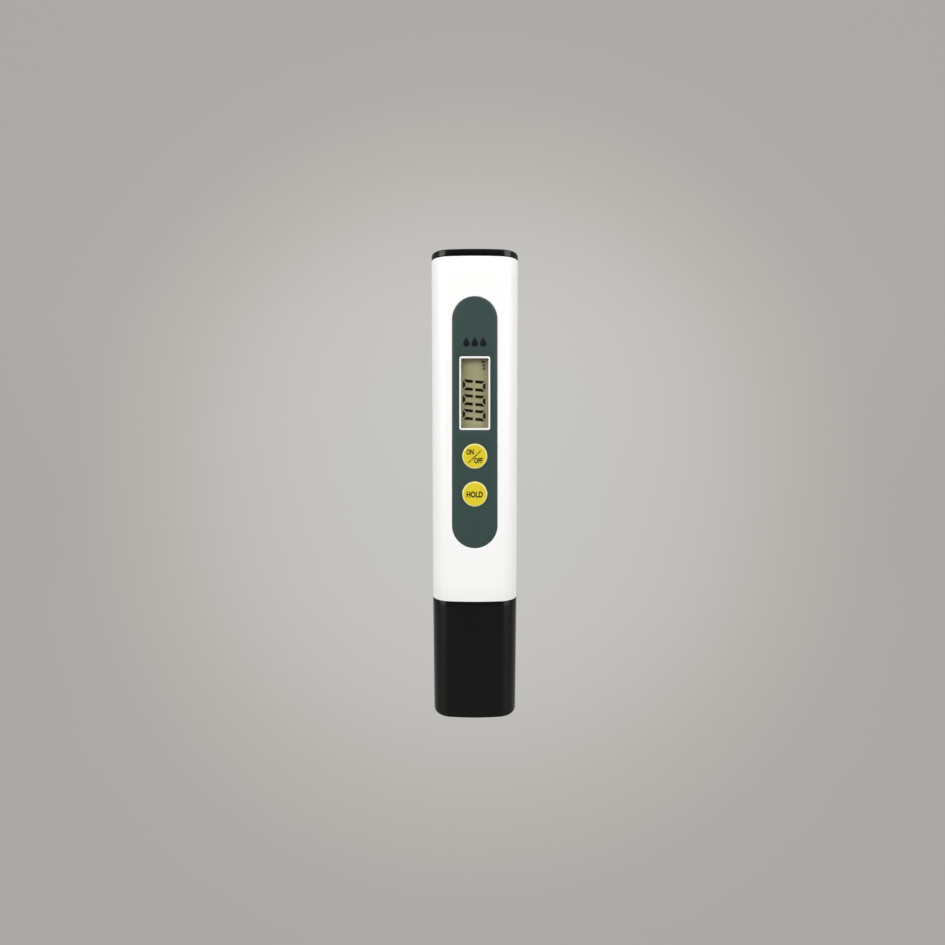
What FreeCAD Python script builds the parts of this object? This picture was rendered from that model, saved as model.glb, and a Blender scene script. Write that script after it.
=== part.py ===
"""Handheld conductivity pen: oval housing, display, two buttons, guarded probe, cap and battery cover.

The pen stands upright on the flat end of its probe cap. The front faces -Y, +X is to the right of the front,
and the origin is the middle of the cap's flat end. Lengths are in millimetres.
"""

import FreeCAD, Part
import math
import os
from FreeCAD import Vector

# The pen's outline: heights of the two parting lines, and half width and half depth of the oval there.
length = 154.0
cap_rim_z = 38.1
cover_rim_z = 151.65
foot_half = (13.68, 6.45)
rim_half = (14.15, 6.75)
top_half = (14.70, 7.00)
side_radius_share = 0.93
parting_gap = 0.12
parting_chamfer = 0.2

# Clearances between pieces that are slid or dropped in, and the depths that cutters start and end at.
slip_gap = 0.05
seat_gap = 0.08
ahead_y = -9.0
bore_y = -3.0

# Walls and shoulders of the housing tube. Its bores and the cap's are straight, so the walls thicken.
bore_wall = 1.7
bore_wall_z = 130.0
shoulder_z = 40.0
spigot_end_z = 24.0
spigot_wall = 1.1

# Probe cap and battery cover.
cap_wall = 1.35
cap_floor = 1.6
cap_foot_round = 0.9
cover_top_round = 0.8
cover_skirt_end_z = 144.2
cover_pocket_half = (10.4, 3.2)
cover_plate = 1.5
cover_gap = 0.12

# Slate panel let into the front, with full-round ends.
panel_width = 15.0
panel_bottom_z = 55.8
panel_top_z = 138.4
panel_recess = 0.45
panel_sink = 0.05
panel_edge_gap = 0.06
panel_cut_end_y = -4.0

# Display opening, its lip and the clear window behind it.
display_z = 106.65
display_opening = (9.06, 22.9)
display_lip = (10.27, 24.4)
display_corner = 0.7
lip_stand = 0.05
window_plate = (10.6, 26.0)
window_front_y = -5.9
window_thickness = 0.6
lip_root = 0.3

# Buttons: a round head through the panel, a flange held under it, and a stem on the switch.
button_z = {"power": 86.0, "hold": 73.6}
button_radius = 4.12
button_hole_radius = 4.26
button_front_y = -7.30
button_bevel = 0.4
flange_radius = 4.72
flange_front_y = -6.18
flange_thickness = 0.5
flange_bore_radius = 4.85
flange_floor_y = -5.22
stem_radius = 2.2
stem_bore_radius = 2.35
boss_size = 11.0
boss_front_y = -6.0
boss_end_y = -4.5
button_travel = 0.4

# Circuit board, upright in the middle of the tube.
board_front_y = -0.6
board_back_y = 0.4
board_width = 24.4
board_bottom_z = 44.6
board_top_z = 129.6
rail_reach_x = 11.2
rail_thickness = 0.8
rail_foot_z = 46.0
rail_head_z = 128.6
rail_root = 0.4

# Display stack between the window and the board.
glass_front_y = -4.55
glass_sheet = 1.0
glass_width = 12.6
glass_length = 27.0
glass_ledge = 1.4
reflector_thickness = 0.22
reflector_edge = (0.1, 0.5)
zebra_end = 0.8
zebra_ledge_gap = 0.1
holder_width = 14.0
holder_length = 29.6
holder_lip = 0.3
holder_lip_reach = 0.9
holder_tab_half = 0.5
holder_tab_reach = 0.5

# Epoxy blob over the controller.
blob_size = 9.0
blob_height = 1.4
blob_slope = 0.9
blob_z = 102.0

# Tactile switches.
switch_size = 6.0
switch_front_y = -3.2
plunger_radius = 1.7
plunger_tip_y = -4.05
plunger_root_y = -2.3
plunger_end_gap = 0.1

# Calibration trimmer and the hole in the back that a screwdriver reaches it through.
trimmer_z = 64.0
trimmer_size = 6.4
trimmer_back_y = 3.6
rotor_radius = 2.0
rotor_root_y = 2.0
rotor_tip_y = 3.9
rotor_end_gap = 0.1
rotor_slot = (0.6, 0.7)
calibration_radius = 1.6
calibration_start_y = 3.0
calibration_band = 4.0

# Battery bay: two button cells of 11.6 x 5.4 mm side by side.
cell_radius = 5.8
cell_height = 5.4
cell_x = 6.15
cell_z = 137.6
negative_cap_radius = 4.6
negative_cap_height = 0.2
holder_bottom_z = 129.8
bay_half_depth = 2.95
holder_head_gap = 0.5
bay_step_z = 132.8
saddle_gap = 0.1
partition = 0.6
contact_thickness = 0.25
contact_width = 4.0
contact_reach = 4.0
contact_pad = 4.0
contact_step = 0.6
bridge_half = 3.0

# Probe: plug with guard walls, electrode pins, gasket.
plug_bottom_z = 22.6
plug_floor_top_z = 27.0
plug_pocket_half = (9.0, 2.6)
plug_flange_bottom_z = 40.6
plug_flange_top_z = 43.2
guard_end_z = 10.6
guard_slot_half = 6.6
pin_radius = 0.8
pin_x = 3.2
pin_tip_z = 13.0
pin_tail_z = 50.4
thermistor_radius = 0.9
thermistor_length = 2.4
thermistor_z = 38.0
ribbon_thickness = 0.4
ribbon_half = 0.7
solder_reach = 1.0
solder_height = 0.8
solder_span = (3.4, 0.6)

# Chip parts on the front of the board: length, width and height, and where they sit.
resistor_size = (2.0, 1.25, 0.5)
resistor_z = 62.0
resistor_x = [-7.5 + 3.0 * i for i in range(6)]
capacitor_size = (3.2, 1.6, 1.1)
capacitor_places = [(-7.0, 54.5), (7.0, 54.5), (8.0, 66.0)]


def half_sizes(z, lower):
    """Half width and half depth of the outside at height z, on the cap's draft or on the housing's."""
    low_z, high_z = (0.0, cap_rim_z) if lower else (cap_rim_z, length)
    low, high = (foot_half, rim_half) if lower else (rim_half, top_half)
    share = (z - low_z) / (high_z - low_z)
    return [a + (b - a) * share for a, b in zip(low, high)]


def bow_radius(z, lower=False):
    """Radius of the shallow arc at front and back, tangent to the side arcs."""
    half_width, half_depth = half_sizes(z, lower)
    side = side_radius_share * half_depth
    return ((half_width - side) ** 2 + half_depth**2 - side**2) / (2 * (half_depth - side))


def oval_wire(z, inset, lower=False):
    """Tangent arcs moved inwards by inset: tight ones at the sides, shallow bows in front and behind."""
    half_width, half_depth = half_sizes(z, lower)
    side = side_radius_share * half_depth
    side_x = half_width - side
    bow = bow_radius(z, lower)
    bow_y = bow - half_depth
    lean = math.degrees(math.atan2(side_x, bow_y))
    arcs = [
        (0, bow_y, bow, 270 - lean, 270),
        (0, bow_y, bow, 270, 270 + lean),
        (side_x, 0, side, lean - 90, 90 - lean),
        (0, -bow_y, bow, 90 - lean, 90),
        (0, -bow_y, bow, 90, 90 + lean),
        (-side_x, 0, side, 90 + lean, 270 - lean),
    ]
    edges = []
    for x, y, radius, start, end in arcs:
        circle = Part.Circle(Vector(x, y, z), Vector(0, 0, 1), radius - inset)
        edges.append(Part.ArcOfCircle(circle, math.radians(start), math.radians(end)).toShape())
    return Part.Wire(edges)


def oval_stack(rings, lower=False):
    """Tapered oval through rings of (height, inset), with straight walls from each ring to the next."""
    return Part.makeLoft([oval_wire(z, inset, lower) for z, inset in rings], True, True)


def rounded_end(end_z, size, inwards):
    """Rings for a rounded end edge: inwards is +1 where the solid lies above the end and -1 below it."""
    steps = [math.radians(angle) for angle in (0, 45, 90)]
    return [(end_z + inwards * size * (1 - math.cos(t)), size * (1 - math.sin(t))) for t in steps]


def straight_oval(wire, low_z, high_z):
    """Prism with vertical walls through an oval wire."""
    outline = wire.copy()
    outline.translate(Vector(0, 0, low_z - wire.BoundBox.ZMin))
    return Part.Face(outline).extrude(Vector(0, 0, high_z - low_z))


def bore_solid(low_z, high_z, gap=0.0):
    """Fills the housing's main bore, less a gap all round."""
    return straight_oval(oval_wire(bore_wall_z, bore_wall + gap), low_z, high_z)


def cap_bore_solid(low_z, high_z, gap=0.0):
    """Fills the cap's bore, less a gap all round. The spigot and the plug in it follow the same oval."""
    return straight_oval(oval_wire(cap_floor, cap_wall + gap, lower=True), low_z, high_z)


def spigot_bore_solid(low_z, high_z, gap=0.0):
    """Fills the spigot's bore, less a gap all round."""
    return cap_bore_solid(low_z, high_z, seat_gap + spigot_wall + gap)


def box(x, y, z):
    """Box from three (low, high) pairs."""
    size = [high - low for low, high in (x, y, z)]
    return Part.makeBox(*size, Vector(x[0], y[0], z[0]))


def round_bar(radius, y_from, y_to, x, z):
    """Cylinder along Y."""
    return Part.makeCylinder(radius, y_to - y_from, Vector(x, y_from, z), Vector(0, 1, 0))


def plate(size, y_from, y_to, z):
    """Plate seen from the front as a rectangle, centred on x = 0 and height z."""
    width, height = size
    return box((-width / 2, width / 2), (y_from, y_to), (z - height / 2, z + height / 2))


def rounded_plate(size, corner, y_from, y_to, z):
    """The same with round corners."""
    blank = plate(size, y_from, y_to, z)
    along_y = [e for e in blank.Edges if abs(e.Vertexes[0].Point.y - e.Vertexes[-1].Point.y) > 1e-6]
    return blank.makeFillet(corner, along_y)


def front_bow(inset):
    """Large tilted cylinder whose front follows the middle of the housing's front, at a depth under it."""
    low_z, high_z = cap_rim_z, length
    radius = bow_radius((low_z + high_z) / 2)
    foot, top = [Vector(0, radius - half_sizes(z, False)[1], z) for z in (low_z, high_z)]
    return Part.makeCylinder(radius - inset, (top - foot).Length, foot, top - foot)


def front_layer(outer_inset, inner_inset):
    """Curved layer between two depths under the housing's front."""
    return front_bow(outer_inset).cut(front_bow(inner_inset))


def panel_outline(gap):
    """Prism with full-round ends that the panel and its recess are cut with."""
    size = (panel_width - 2 * gap, panel_top_z - panel_bottom_z - 2 * gap)
    middle = (panel_top_z + panel_bottom_z) / 2
    nearly_half = size[0] / 2 - 0.001
    return rounded_plate(size, nearly_half, ahead_y, panel_cut_end_y, middle)


def board_rails():
    """Two pairs of ribs along the sides of the bore that the board's edges slide between."""
    outer = half_sizes(length, False)[0]
    front = (board_front_y - seat_gap - rail_thickness, board_front_y - seat_gap)
    back = (board_back_y + seat_gap, board_back_y + seat_gap + rail_thickness)
    height = (rail_foot_z, rail_head_z)
    ribs = []
    for depth in (front, back):
        for sides in ((-outer, -rail_reach_x), (rail_reach_x, outer)):
            ribs.append(box(sides, depth, height))
    return [rib.common(bore_solid(*height, -rail_root)) for rib in ribs]


def make_housing():
    """One moulding: tapered tube, spigot, panel recess, display lip, button guides, board rails."""
    low = cap_rim_z + parting_gap
    high = cover_rim_z
    chamfer = parting_chamfer
    foot = [(low, chamfer), (low + chamfer, 0)]
    head = [(high - chamfer, 0), (high, chamfer)]
    # Two rings bound the short stretch of the draft that the calibration hole lies in.
    band = [(trimmer_z - calibration_band, 0), (trimmer_z + calibration_band, 0)]
    body = oval_stack(foot + band + head)
    body = body.fuse(cap_bore_solid(spigot_end_z, low + chamfer, seat_gap))
    body = body.cut(bore_solid(shoulder_z, high + 1))
    body = body.cut(spigot_bore_solid(spigot_end_z - 1, shoulder_z + 1))

    body = body.cut(panel_outline(0).cut(front_bow(panel_recess)))
    lip = rounded_plate(display_lip, display_corner, ahead_y, panel_cut_end_y, display_z)
    body = body.fuse(lip.common(front_layer(panel_sink - lip_stand, panel_recess + lip_root)))
    for z in button_z.values():
        body = body.fuse(plate((boss_size, boss_size), boss_front_y, boss_end_y, z))
    body = body.fuse(board_rails())

    body = body.cut(plate(display_opening, ahead_y, bore_y, display_z))
    body = body.cut(plate(window_plate, window_front_y, bore_y, display_z))
    for z in button_z.values():
        body = body.cut(round_bar(flange_bore_radius, ahead_y, flange_floor_y, 0, z))
        body = body.cut(round_bar(stem_bore_radius, ahead_y, bore_y, 0, z))
    body = body.cut(round_bar(calibration_radius, calibration_start_y, -ahead_y, 0, trimmer_z))
    return body.removeSplitter()


def make_front_panel():
    """Stiff printed sheet that follows the bow of the front and holds the button flanges in."""
    panel = panel_outline(panel_edge_gap).common(front_layer(panel_sink, panel_recess))
    around_lip = tuple(side + 2 * panel_edge_gap for side in display_lip)
    panel = panel.cut(rounded_plate(around_lip, display_corner, ahead_y, panel_cut_end_y, display_z))
    for z in button_z.values():
        panel = panel.cut(round_bar(button_hole_radius, ahead_y, panel_cut_end_y, 0, z))
    return panel


def make_button(z):
    """Round key: bevelled head, flange under the panel, stem that rests on the switch."""
    profile = [
        (0, button_front_y),
        (button_radius - button_bevel, button_front_y),
        (button_radius, button_front_y + button_bevel),
        (button_radius, flange_front_y),
        (flange_radius, flange_front_y),
        (flange_radius, flange_front_y + flange_thickness),
        (stem_radius, flange_front_y + flange_thickness),
        (stem_radius, plunger_tip_y),
        (0, plunger_tip_y),
    ]
    points = [Vector(x, y, z) for x, y in profile]
    face = Part.Face(Part.makePolygon(points + points[:1]))
    return face.revolve(Vector(0, 0, z), Vector(0, 1, 0), 360)


def make_display_window():
    """Clear plate in the pocket behind the lip."""
    size = tuple(side - 2 * slip_gap for side in window_plate)
    return plate(size, window_front_y, window_front_y + window_thickness, display_z)


def make_lcd_glass():
    """Two bonded sheets. The front one is wider, and its ledges face the rubber connectors."""
    half = glass_length / 2
    span = (display_z - half, display_z + half)
    rear_width = glass_width - 2 * glass_ledge
    front_y = (glass_front_y, glass_front_y + glass_sheet)
    rear_y = (front_y[1], front_y[1] + glass_sheet)
    front = box((-glass_width / 2, glass_width / 2), front_y, span)
    return front.fuse(box((-rear_width / 2, rear_width / 2), rear_y, span)).removeSplitter()


def make_lcd_reflector():
    """Foil on the back of the glass."""
    half_width = glass_width / 2 - glass_ledge - reflector_edge[0]
    half_length = glass_length / 2 - reflector_edge[1]
    back = glass_front_y + 2 * glass_sheet
    span = (display_z - half_length, display_z + half_length)
    return box((-half_width, half_width), (back, back + reflector_thickness), span)


def make_zebra_strips():
    """Rubber connectors pressed between the glass ledges and the board's pads."""
    half = glass_length / 2 - zebra_end
    span = (display_z - half, display_z + half)
    depth = (glass_front_y + glass_sheet, board_front_y)
    outer = glass_width / 2 - slip_gap
    inner = glass_width / 2 - glass_ledge + zebra_ledge_gap
    return Part.makeCompound([box((-outer, -inner), depth, span), box((inner, outer), depth, span)])


def holder_tabs(gap):
    """Two square tabs that pin the display frame to the board, grown by a gap for their holes."""
    half = holder_tab_half + gap
    reach = holder_length / 2 - holder_tab_half
    depth = (board_front_y - holder_tab_reach, board_back_y + holder_tab_reach)
    return [box((-half, half), depth, (z - half, z + half)) for z in (display_z - reach, display_z + reach)]


def make_lcd_holder():
    """Open frame round the glass: a lip in front, side walls down to the board, two tabs through it."""
    size = (holder_width, holder_length)
    front = glass_front_y - holder_lip
    frame = plate(size, front, board_front_y, display_z)
    half_glass = (glass_width / 2 + slip_gap, glass_length / 2 + slip_gap)
    cavity = box(
        (-half_glass[0], half_glass[0]),
        (glass_front_y, 0),
        (display_z - half_glass[1], display_z + half_glass[1]),
    )
    half_view = (glass_width / 2 - holder_lip_reach, glass_length / 2 - holder_lip_reach)
    view = box(
        (-half_view[0], half_view[0]),
        (front - 1, 0),
        (display_z - half_view[1], display_z + half_view[1]),
    )
    return frame.cut(cavity).cut(view).fuse(holder_tabs(0))


def make_circuit_board():
    """Board with slots at its lower end for the pin tails and holes for the display frame's tabs."""
    half = board_width / 2
    board = box((-half, half), (board_front_y, board_back_y), (board_bottom_z, board_top_z))
    for sign in (-1, 1):
        slot = (sign * pin_x - pin_radius - slip_gap, sign * pin_x + pin_radius + slip_gap)
        through = (board_front_y - 1, board_back_y + 1)
        board = board.cut(box(slot, through, (board_bottom_z - 1, pin_tail_z + slip_gap)))
    return board.cut(holder_tabs(slip_gap))


def make_chip_blob():
    """Low mound of epoxy over the bare controller die, on the back of the board."""
    mound = plate((blob_size, blob_size), board_back_y, board_back_y + blob_height, blob_z)
    crown = [e for e in mound.Edges if e.BoundBox.YMin > board_back_y + blob_height / 2]
    return mound.makeChamfer(blob_slope, crown)


def chip_part(x, z, size, along_x):
    """Surface-mount part on the front of the board."""
    length_half = size[0] / 2
    width_half = size[1] / 2
    half_x, half_z = (length_half, width_half) if along_x else (width_half, length_half)
    depth = (board_front_y - size[2], board_front_y)
    return box((x - half_x, x + half_x), depth, (z - half_z, z + half_z))


def make_resistors():
    """Row of chip resistors below the switches."""
    return Part.makeCompound([chip_part(x, resistor_z, resistor_size, False) for x in resistor_x])


def make_capacitors():
    """Chip capacitors beside the electrode pads and at the battery end."""
    return Part.makeCompound([chip_part(x, z, capacitor_size, True) for x, z in capacitor_places])


def make_switch(z):
    """Square switch case with a round guide for its plunger."""
    half = switch_size / 2
    case = box((-half, half), (switch_front_y, board_front_y), (z - half, z + half))
    end = plunger_root_y + button_travel + plunger_end_gap
    return case.cut(round_bar(plunger_radius + seat_gap, switch_front_y - 1, end, 0, z))


def make_plunger(z):
    """Plunger of a tactile switch, flat on the button's stem."""
    return round_bar(plunger_radius, plunger_tip_y, plunger_root_y, 0, z)


def make_trimmer_body():
    """Square preset case on the back of the board, with a round well for the rotor."""
    half = trimmer_size / 2
    body = box((-half, half), (board_back_y, trimmer_back_y), (trimmer_z - half, trimmer_z + half))
    well = rotor_root_y - rotor_end_gap
    return body.cut(round_bar(rotor_radius + seat_gap, well, trimmer_back_y + 1, 0, trimmer_z))


def make_trimmer_rotor():
    """Round rotor with a screwdriver slot facing the hole in the housing's back."""
    rotor = round_bar(rotor_radius, rotor_root_y, rotor_tip_y, 0, trimmer_z)
    width, slot_depth = rotor_slot
    depth = (rotor_tip_y - slot_depth, rotor_tip_y + 1)
    height = (trimmer_z - width / 2, trimmer_z + width / 2)
    return rotor.cut(box((-rotor_radius, rotor_radius), depth, height))


def make_battery_holder():
    """Two webs, a floor with round saddles and a partition: the cells drop in between from the top."""
    holder = bore_solid(holder_bottom_z, cover_skirt_end_z - holder_head_gap, seat_gap)
    reach = half_sizes(length, False)[0]
    for sign in (-1, 1):
        inner = sign * partition / 2
        bay_x = sorted((inner, sign * reach))
        bay = box(bay_x, (-bay_half_depth, bay_half_depth), (cell_z, cover_skirt_end_z))
        saddle = round_bar(cell_radius + saddle_gap, -bay_half_depth, bay_half_depth, sign * cell_x, cell_z)
        side_x = sorted((sign * cell_x, sign * reach))
        side = box(side_x, (-bay_half_depth, bay_half_depth), (bay_step_z, cell_z))
        holder = holder.cut(bay).cut(saddle).cut(side)
        slot_half = contact_width / 2 + slip_gap
        slot_x = (sign * cell_x - slot_half, sign * cell_x + slot_half)
        slot_y = (-bay_half_depth, contact_thickness - bay_half_depth)
        holder = holder.cut(box(slot_x, slot_y, (holder_bottom_z - 1, cell_z)))
    bridge_depth = (cell_height / 2, bay_half_depth)
    return holder.cut(box((-2 * partition, 2 * partition), bridge_depth, (cell_z - bridge_half, length)))


def make_cell(x, flipped):
    """Button cell: can with the smaller negative cap on one face."""
    half = cell_height / 2
    sign = -1 if flipped else 1
    can = round_bar(cell_radius, -half, half - negative_cap_height, 0, 0)
    cap = round_bar(negative_cap_radius, 0, half, 0, 0)
    cell = can.fuse(cap)
    if sign < 0:
        cell = cell.mirror(Vector(0, 0, 0), Vector(0, 1, 0))
    cell.translate(Vector(x, 0, cell_z))
    return cell


def make_contact(x):
    """Spring strip in front of a cell, stepped back below the holder to its pad on the board."""
    front = -cell_height / 2 - contact_thickness
    thick = contact_thickness
    low = board_top_z - contact_pad
    high = cell_z + contact_reach
    step = holder_bottom_z - contact_step
    outline = [
        (front, high),
        (front, step - thick),
        (board_front_y - thick, step - thick),
        (board_front_y - thick, low),
        (board_front_y, low),
        (board_front_y, step),
        (front + thick, step),
        (front + thick, high),
    ]
    start_x = x - contact_width / 2
    points = [Vector(start_x, y, z) for y, z in outline]
    face = Part.Face(Part.makePolygon(points + points[:1]))
    return face.extrude(Vector(contact_width, 0, 0))


def make_contact_bridge():
    """Strip behind both cells that joins them in series."""
    back = cell_height / 2
    reach = cell_x + contact_width / 2
    span = (cell_z - bridge_half, cell_z + bridge_half)
    return box((-reach, reach), (back, back + contact_thickness), span)


def make_electrode_block():
    """Plug in the spigot: flange on the gasket, hollow neck, floor with two pin holes, two guard walls."""
    block = spigot_bore_solid(guard_end_z, plug_flange_bottom_z, seat_gap)
    block = block.fuse(bore_solid(plug_flange_bottom_z, plug_flange_top_z, seat_gap))
    half_x, half_y = plug_pocket_half
    block = block.cut(box((-half_x, half_x), (-half_y, half_y), (plug_floor_top_z, plug_flange_top_z + 1)))
    reach = length
    slot = box((-guard_slot_half, guard_slot_half), (-reach, reach), (guard_end_z - 1, plug_bottom_z))
    block = block.cut(slot)
    for sign in (-1, 1):
        foot = Vector(sign * pin_x, 0, plug_bottom_z - 1)
        block = block.cut(Part.makeCylinder(pin_radius, plug_floor_top_z - plug_bottom_z + 2, foot))
    return block.removeSplitter()


def make_electrode(x):
    """Plated pin with its tip below the plug and a tail in the board's slot."""
    return Part.makeCylinder(pin_radius, pin_tail_z - pin_tip_z, Vector(x, 0, pin_tip_z))


def make_solder_joints():
    """Solder fillets where the pin tails lie in the board's slots."""
    joints = []
    half_width = pin_radius + solder_reach
    span = [pin_tail_z - down for down in solder_span]
    for sign in (-1, 1):
        pin = Part.makeCylinder(pin_radius, pin_tail_z - pin_tip_z, Vector(sign * pin_x, 0, pin_tip_z))
        across = (sign * pin_x - half_width, sign * pin_x + half_width)
        for face_y, height in ((board_front_y, -solder_height), (board_back_y, solder_height)):
            depth = sorted((face_y, face_y + height))
            joints.append(box(across, depth, span).cut(pin))
    return Part.makeCompound(joints)


def make_thermistor():
    """Bead in the plug's pocket on a two-core ribbon to the board's lower edge."""
    bead = Part.makeCylinder(thermistor_radius, thermistor_length, Vector(0, 0, thermistor_z))
    half = ribbon_thickness / 2
    height = (thermistor_z + thermistor_length / 2, board_bottom_z)
    ribbon = box((-ribbon_half, ribbon_half), (-half, half), height)
    return bead.fuse(ribbon)


def make_probe_seal():
    """Flat gasket between the plug's flange and the housing's shoulder."""
    ring = bore_solid(shoulder_z, plug_flange_bottom_z, seat_gap)
    return ring.cut(spigot_bore_solid(shoulder_z - 1, plug_flange_bottom_z + 1, seat_gap / 2))


def make_probe_cap():
    """Closed cap: draft all round, rounded foot, straight bore."""
    cap = oval_stack(rounded_end(0, cap_foot_round, 1) + [(cap_rim_z / 2, 0), (cap_rim_z, 0)], lower=True)
    return cap.cut(cap_bore_solid(cap_floor, cap_rim_z + 1))


def make_battery_cover():
    """Top cover: flat plate with a rounded edge over a skirt that pushes into the housing."""
    low = cover_rim_z + parting_gap
    lid = oval_stack([(low, 0)] + rounded_end(length, cover_top_round, -1)[::-1])
    skirt = bore_solid(cover_skirt_end_z, low + parting_chamfer, cover_gap)
    half_x, half_y = cover_pocket_half
    pocket = box((-half_x, half_x), (-half_y, half_y), (cover_skirt_end_z - 1, length - cover_plate))
    return lid.fuse(skirt).cut(pocket)


def build():
    """Every piece by its node name."""
    pieces = {
        "housing": make_housing(),
        "front_panel": make_front_panel(),
        "display_window": make_display_window(),
        "lcd_glass": make_lcd_glass(),
        "lcd_reflector": make_lcd_reflector(),
        "lcd_holder": make_lcd_holder(),
        "zebra_strips": make_zebra_strips(),
        "circuit_board": make_circuit_board(),
        "chip_blob": make_chip_blob(),
        "resistors": make_resistors(),
        "capacitors": make_capacitors(),
        "trimmer_body": make_trimmer_body(),
        "trimmer_rotor": make_trimmer_rotor(),
        "battery_holder": make_battery_holder(),
        "cell_left": make_cell(-cell_x, False),
        "cell_right": make_cell(cell_x, True),
        "contact_positive": make_contact(-cell_x),
        "contact_negative": make_contact(cell_x),
        "contact_bridge": make_contact_bridge(),
        "electrode_block": make_electrode_block(),
        "electrode_left": make_electrode(-pin_x),
        "electrode_right": make_electrode(pin_x),
        "thermistor": make_thermistor(),
        "solder_joints": make_solder_joints(),
        "probe_seal": make_probe_seal(),
        "probe_cap": make_probe_cap(),
        "battery_cover": make_battery_cover(),
    }
    for name, z in button_z.items():
        pieces[name + "_button"] = make_button(z)
        pieces[name + "_switch"] = make_switch(z)
        pieces[name + "_switch_plunger"] = make_plunger(z)
    return pieces


os.makedirs("parts", exist_ok=True)
for node, shape in build().items():
    shape.exportStep("parts/" + node + ".step")
    print(node, "valid" if shape.isValid() else "NOT VALID", len(shape.Solids), round(shape.Volume, 1))
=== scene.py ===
"""Handheld conductivity pen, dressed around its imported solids.

The sections follow the pen from the studio and the housing to the small parts inside, and end with the cap
and the battery cover. Sizes in them are millimetres. Meshes are written in metres in the pen's own frame:
+Z up, the front to -Y, +X to the right.
"""

import math

import bmesh
import bpy
import numpy as np
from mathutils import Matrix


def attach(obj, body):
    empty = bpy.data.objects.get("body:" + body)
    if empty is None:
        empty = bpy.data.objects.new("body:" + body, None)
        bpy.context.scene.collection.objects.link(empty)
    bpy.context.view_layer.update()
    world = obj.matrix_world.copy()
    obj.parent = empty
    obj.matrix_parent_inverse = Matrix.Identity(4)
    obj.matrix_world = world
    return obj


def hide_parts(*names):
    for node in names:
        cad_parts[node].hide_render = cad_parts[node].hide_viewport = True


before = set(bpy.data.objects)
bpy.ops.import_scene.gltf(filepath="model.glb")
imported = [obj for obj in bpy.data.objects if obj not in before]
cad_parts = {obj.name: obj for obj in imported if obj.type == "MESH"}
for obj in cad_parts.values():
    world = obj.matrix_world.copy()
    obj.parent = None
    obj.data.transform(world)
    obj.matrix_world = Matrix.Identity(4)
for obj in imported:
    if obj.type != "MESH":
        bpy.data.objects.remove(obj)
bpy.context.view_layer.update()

# Camera: level, looking along +Y from a little above the pen's middle, close enough that the ends show a
# little perspective. The lens and the shift are those that put the pen where the photograph has it.
camera_place = (0.0, -0.1823, 0.0972)
camera = bpy.data.objects.new("studio_camera", bpy.data.cameras.new("studio_camera"))
camera.data.sensor_width = 36.0
camera.data.lens = 20.41
camera.data.shift_x = -0.0024
camera.data.shift_y = -0.0534
camera.data.clip_start = 0.005
camera.location = camera_place
camera.rotation_euler = (math.radians(90), 0, 0)
bpy.context.scene.collection.objects.link(camera)
bpy.context.scene.camera = camera
bpy.context.scene.view_settings.view_transform = "Standard"


# Studio sweep: a sheet of pale grey paper on the table that curves up behind the pen. A soft pool of light is
# painted on the paper, lightest behind the pen and darker outwards. The pen hangs over the table, high
# enough for its cap to be pulled off downwards.
def linear(code):
    """Linear RGBA of an sRGB hex colour: c / 12.92 if small, otherwise ((c + 0.055) / 1.055) ** 2.4."""
    channels = [int(code[i : i + 2], 16) / 255 for i in (0, 2, 4)]
    return [c / 12.92 if c <= 0.04045 else ((c + 0.055) / 1.055) ** 2.4 for c in channels] + [1.0]


def add_node(tree, kind, values=None, sources=None, **settings):
    """Adds a shader node with its own settings, its sockets' values and the sockets that feed it."""
    node = tree.nodes.new(kind)
    for name, value in settings.items():
        setattr(node, name, value)
    for name, value in (values or {}).items():
        node.inputs[name].default_value = value
    for name, source in (sources or {}).items():
        tree.links.new(source, node.inputs[name])
    return node


def piece(name, grids, material, closed=True):
    """Mesh object from grids of points (rows, columns, xyz) in millimetres.

    Each grid becomes quads between neighbouring points. Points that coincide are merged, a closed piece's
    open ends are filled flat, normals are turned outwards, and edges of more than 35 degrees stay sharp.
    """
    faces = []
    first = 0
    for grid in grids:
        rows, columns = grid.shape[:2]
        corner = first + np.arange(rows - 1)[:, None] * columns + np.arange(columns - 1)
        quads = np.stack([corner, corner + 1, corner + columns + 1, corner + columns], axis=-1)
        faces.append(quads.reshape(-1, 4))
        first += rows * columns
    points = np.concatenate([grid.reshape(-1, 3) for grid in grids]) * 0.001
    mesh = bpy.data.meshes.new(name)
    mesh.from_pydata(points.tolist(), [], np.concatenate(faces).tolist())
    shell = bmesh.new()
    shell.from_mesh(mesh)
    bmesh.ops.remove_doubles(shell, verts=shell.verts, dist=1e-6)
    bmesh.ops.dissolve_degenerate(shell, edges=shell.edges, dist=1e-7)
    if closed:
        bmesh.ops.holes_fill(shell, edges=[edge for edge in shell.edges if edge.is_boundary])
    bmesh.ops.recalc_face_normals(shell, faces=shell.faces)
    shell.to_mesh(mesh)
    shell.free()
    mesh.shade_smooth()
    mesh.set_sharp_from_angle(angle=math.radians(35))
    mesh.materials.append(material)
    built = bpy.data.objects.new(name, mesh)
    bpy.context.scene.collection.objects.link(built)
    return built


def sweep_grid():
    """Line along the table, a quarter circle and a line up the wall, carried straight across in x."""
    table_z, bend, wall_y = -35.0, 260.0, 620.0
    turn = np.radians(np.linspace(0, 90, 33))
    y = np.concatenate([[-900.0], wall_y - bend + bend * np.sin(turn), [wall_y]])
    z = table_z + np.concatenate([[0.0], bend - bend * np.cos(turn), [1500.0]])
    x = np.linspace(1600, -1600, 9)
    return np.stack(np.broadcast_arrays(x, y[:, None], z[:, None]), axis=-1)


paper = bpy.data.materials.new("matt_backdrop_paper")
paper.use_nodes = True
tree = paper.node_tree
tree.nodes.clear()
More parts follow.
